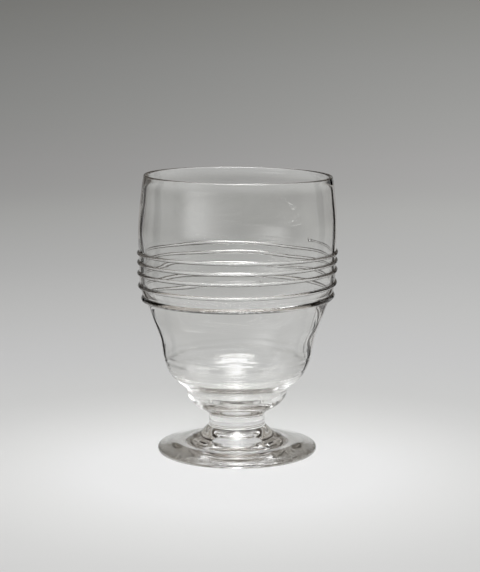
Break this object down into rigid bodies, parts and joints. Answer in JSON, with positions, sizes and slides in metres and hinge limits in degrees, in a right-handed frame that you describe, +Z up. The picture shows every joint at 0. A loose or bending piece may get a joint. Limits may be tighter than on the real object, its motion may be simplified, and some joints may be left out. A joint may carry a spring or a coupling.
{
  "type": "footed goblet",
  "caption": "Short blown-glass goblet with a barrel bowl, a spiral glass thread trailed round it, a pinched well, a short solid stem and a round foot.",
  "frame": {"origin": "middle of the ring that the foot rests on, at the height of the surface it stands on", "axes": "+Z up along the goblet's axis; the bowl opens towards +Z; the thread starts at the back right, 41 degrees from +X towards +Y, and comes down clockwise seen from above"},
  "size_m": [0.0866, 0.0865, 0.12],
  "materials": {
    "clear_glass": "blown soda-lime glass, fire-polished, clear with a faint grey-green cast",
    "thread_glass": "hot-trailed thread of the same glass, smooth, nicked on its lowest turn"
  },
  "bodies": {
    "root": {"foot": "clear_glass", "stem": "clear_glass", "bowl": "clear_glass", "trailed_thread": "thread_glass"}
  },
  "joints": []
}
